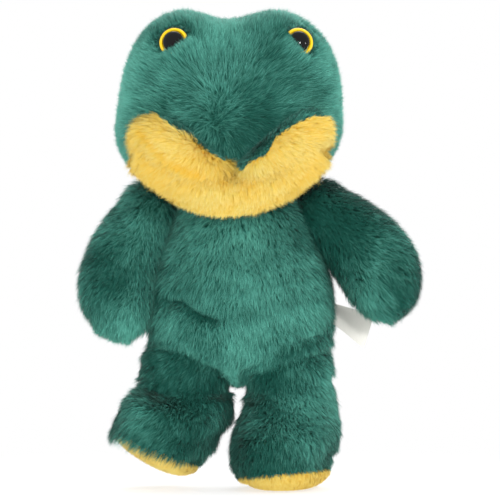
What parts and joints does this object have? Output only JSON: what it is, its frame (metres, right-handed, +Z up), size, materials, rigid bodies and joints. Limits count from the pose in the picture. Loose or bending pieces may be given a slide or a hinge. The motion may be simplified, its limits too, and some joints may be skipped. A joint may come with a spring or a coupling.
{
  "type": "plush toy frog",
  "caption": "Standing stuffed frog of long green pile with a wide padded yellow mouth, yellow soles, plastic safety eyes and a bare sewn-in label.",
  "frame": {"origin": "on the floor, under the middle of the frog's outline as seen from above", "axes": "+Z up from the soles to the crown; the frog faces -Y; its own left side is +X"},
  "size_m": [0.2134, 0.1172, 0.2969],
  "materials": {
    "green_pile": "long straight pile, dull",
    "yellow_pile": "medium pile, dull",
    "yellow_short_pile": "short dense pile",
    "polyester_filling": "loose fibre",
    "satin_ribbon": "bare satin",
    "yellow_plastic": "glossy",
    "black_plastic": "glossy",
    "white_plastic": "matte"
  },
  "bodies": {
    "torso": {"torso_skin": "green_pile", "torso_stuffing": "polyester_filling", "care_label": "satin_ribbon"},
    "head": {"head_skin": "green_pile", "head_stuffing": "polyester_filling", "upper_lip": "yellow_pile", "lower_lip": "yellow_pile", "eye_iris_left": "yellow_plastic", "eye_pupil_left": "black_plastic", "eye_washer_left": "white_plastic", "eye_iris_right": "yellow_plastic", "eye_pupil_right": "black_plastic", "eye_washer_right": "white_plastic"},
    "arm_left": {"arm_left_skin": "green_pile", "arm_left_stuffing": "polyester_filling"},
    "arm_right": {"arm_right_skin": "green_pile", "arm_right_stuffing": "polyester_filling"},
    "leg_left": {"leg_left_skin": "green_pile", "leg_left_stuffing": "polyester_filling", "sole_left": "yellow_short_pile"},
    "leg_right": {"leg_right_skin": "green_pile", "leg_right_stuffing": "polyester_filling", "sole_right": "yellow_short_pile"}
  },
  "joints": [
    {"name": "head_turn", "type": "hinge", "parent": "torso", "child": "head", "pos_m": [-0.0072, 0.00956, 0.182], "axis": [0, 0, 1], "range_deg": [-20, 20], "stiffness_Nm_per_rad": 0.1},
    {"name": "arm_left_raise", "type": "hinge", "parent": "torso", "child": "arm_left", "pos_m": [0.0433, 0.01056, 0.172], "axis": [0, -1, 0], "range_deg": [0, 50], "stiffness_Nm_per_rad": 0.06},
    {"name": "arm_right_raise", "type": "hinge", "parent": "torso", "child": "arm_right", "pos_m": [-0.0612, 0.01056, 0.172], "axis": [0, 1, 0], "range_deg": [0, 50], "stiffness_Nm_per_rad": 0.06},
    {"name": "leg_left_swing", "type": "hinge", "parent": "torso", "child": "leg_left", "pos_m": [0.024, 0.00956, 0.072], "axis": [-1, 0, 0], "range_deg": [-10, 60], "stiffness_Nm_per_rad": 1},
    {"name": "leg_right_swing", "type": "hinge", "parent": "torso", "child": "leg_right", "pos_m": [-0.0384, 0.00956, 0.072], "axis": [-1, 0, 0], "range_deg": [-10, 60], "stiffness_Nm_per_rad": 1}
  ]
}
